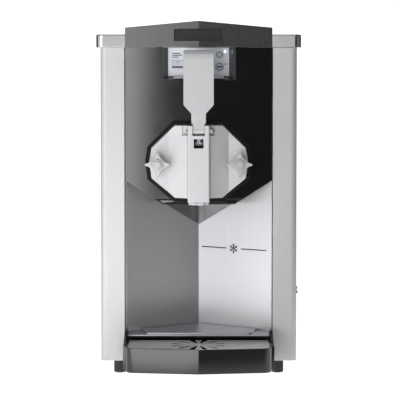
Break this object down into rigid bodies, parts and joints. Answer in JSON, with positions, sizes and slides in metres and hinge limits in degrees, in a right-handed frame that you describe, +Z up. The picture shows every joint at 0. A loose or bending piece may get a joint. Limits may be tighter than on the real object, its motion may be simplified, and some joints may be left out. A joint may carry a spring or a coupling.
{
  "type": "slush freezer",
  "caption": "Counter-top frozen drink freezer: steel cabinet, sealed barrel behind an eight-sided door, pull handle over a draw valve, and a sliding drip tray",
  "frame": {"origin": "centre of the whole machine's footprint, on the counter", "axes": "+Z up, front faces -Y, +X to the right seen from the front"},
  "size_m": [0.461, 0.712, 0.798],
  "materials": {
    "brushed_body": "satin brushed sheet steel",
    "lower_steel": "brushed sheet steel",
    "black_gloss": "polished black moulding",
    "crown_grey": "fine matt dark grey moulding",
    "badge_black": "matt black blank plate",
    "white_gloss": "glossy pale grey moulding",
    "handle_white": "glossy pale grey lever",
    "knob_white": "moulded pale grey",
    "panel_white": "printed membrane",
    "display_grey": "small display lens",
    "button_blue": "soft button cap",
    "lamp_blue": "clear lamp lens",
    "feet_rubber": "ribbed rubber",
    "seal_rubber": "smooth rubber",
    "zinc": "zinc plated",
    "stainless": "food grade steel",
    "lid_clear": "smoked clear lid moulding",
    "tube_white": "food grade plastic",
    "plunger_dark": "dark food grade plastic",
    "bezel_dark": "dark mirror-finish moulding",
    "surround_black": "black moulding",
    "neck_dark": "dark mirror-finish moulding",
    "foam": "rigid insulation foam",
    "cast_grey": "painted casting",
    "motor_paint": "grey enamel",
    "compressor_black": "black enamel",
    "copper": "drawn copper tube",
    "fin_aluminium": "finned aluminium",
    "fan_plastic": "moulded fan",
    "switch_black": "switch moulding"
  },
  "bodies": {
    "cabinet": {"barrel_insulation": "foam", "barrel_standoffs": "stainless", "base_pan": "zinc", "cabinet_frame": "zinc", "compressor": "compressor_black", "compressor_mounts": "seal_rubber", "condenser": "fin_aluminium", "control_bezel": "bezel_dark", "control_box": "zinc", "control_panel": "panel_white", "cord_gland": "switch_black", "crown": "crown_grey", "crown_badge": "badge_black", "door": "white_gloss", "door_gasket": "seal_rubber", "door_studs": "stainless", "door_surround": "surround_black", "drive_motor": "motor_paint", "drive_mount": "zinc", "evaporator_jacket": "stainless", "fan_motor": "motor_paint", "fan_shroud": "zinc", "feet": "feet_rubber", "filter_drier": "copper", "foot_nuts": "zinc", "freezing_barrel": "stainless", "gearbox": "cast_grey", "handle_pin": "knob_white", "hopper": "stainless", "level_display": "display_grey", "lower_fascia": "lower_steel", "neck_panel": "neck_dark", "panel_screws": "stainless", "power_switch_body": "switch_black", "rear_panel": "brushed_body", "rear_shaft_seal": "seal_rubber", "recess_floor": "lower_steel", "refrigerant_pipes": "copper", "side_panel_left": "brushed_body", "side_panel_right": "brushed_body", "spout_collar": "white_gloss", "status_lamp": "lamp_blue", "top_deck": "brushed_body", "tray_support": "black_gloss", "upper_housing": "black_gloss"},
    "handle": {"draw_handle": "handle_white"},
    "plunger": {"valve_plunger": "plunger_dark", "plunger_rings": "seal_rubber"},
    "knob_left": {"star_knob_left": "knob_white"},
    "knob_right": {"star_knob_right": "knob_white"},
    "lid": {"hopper_lid": "lid_clear"},
    "feed_tube": {"mix_feed_tube": "tube_white"},
    "tray": {"drip_pan": "black_gloss"},
    "grid": {"drip_grid": "stainless"},
    "button_high": {"upper_button": "button_blue"},
    "button_low": {"lower_button": "button_blue"},
    "rocker": {"power_switch_rocker": "switch_black"},
    "fan": {"condenser_fan": "fan_plastic"},
    "agitator": {"beater": "stainless", "scraper_blades": "tube_white"}
  },
  "joints": [
    {"name": "draw_handle_pivot", "type": "hinge", "parent": "cabinet", "child": "handle", "pos_m": [0, -0.266, 0.554], "axis": [1, 0, 0], "range_deg": [0, 50], "stiffness_Nm_per_rad": 2},
    {"name": "valve_lift", "type": "slide", "parent": "cabinet", "child": "plunger", "axis": [0, 0, 1], "range_m": [0, 0.0193]},
    {"name": "left_knob_turn", "type": "hinge", "parent": "cabinet", "child": "knob_left", "pos_m": [-0.091, -0.25, 0.479], "axis": [0, -1, 0], "continuous": true},
    {"name": "right_knob_turn", "type": "hinge", "parent": "cabinet", "child": "knob_right", "pos_m": [0.091, -0.25, 0.479], "axis": [0, -1, 0], "continuous": true},
    {"name": "lid_lift", "type": "slide", "parent": "cabinet", "child": "lid", "axis": [0, 0, 1], "range_m": [0, 0.15]},
    {"name": "feed_tube_lift", "type": "slide", "parent": "cabinet", "child": "feed_tube", "axis": [0, 0, 1], "range_m": [0, 0.014]},
    {"name": "tray_slide", "type": "slide", "parent": "cabinet", "child": "tray", "axis": [0, -1, 0], "range_m": [0, 0.16]},
    {"name": "grid_lift", "type": "slide", "parent": "tray", "child": "grid", "axis": [0, 0, 1], "range_m": [0, 0.1]},
    {"name": "upper_button_press", "type": "slide", "parent": "cabinet", "child": "button_high", "axis": [0, 1, 0], "range_m": [0, 0.0015], "stiffness_N_per_m": 600},
    {"name": "lower_button_press", "type": "slide", "parent": "cabinet", "child": "button_low", "axis": [0, 1, 0], "range_m": [0, 0.0015], "stiffness_N_per_m": 600},
    {"name": "power_rocker", "type": "hinge", "parent": "cabinet", "child": "rocker", "pos_m": [0.216, -0.132, 0.1835], "axis": [0, 1, 0], "range_deg": [0, 16]},
    {"name": "fan_spin", "type": "hinge", "parent": "cabinet", "child": "fan", "pos_m": [0.115, 0.281, 0.15], "axis": [0, 1, 0], "continuous": true},
    {"name": "beater_spin", "type": "hinge", "parent": "cabinet", "child": "agitator", "pos_m": [0, 0, 0.48], "axis": [0, 1, 0], "continuous": true}
  ],
  "couplings": [
    {"joint": "valve_lift", "follows": "draw_handle_pivot", "m_per_rad": 0.02199}
  ]
}
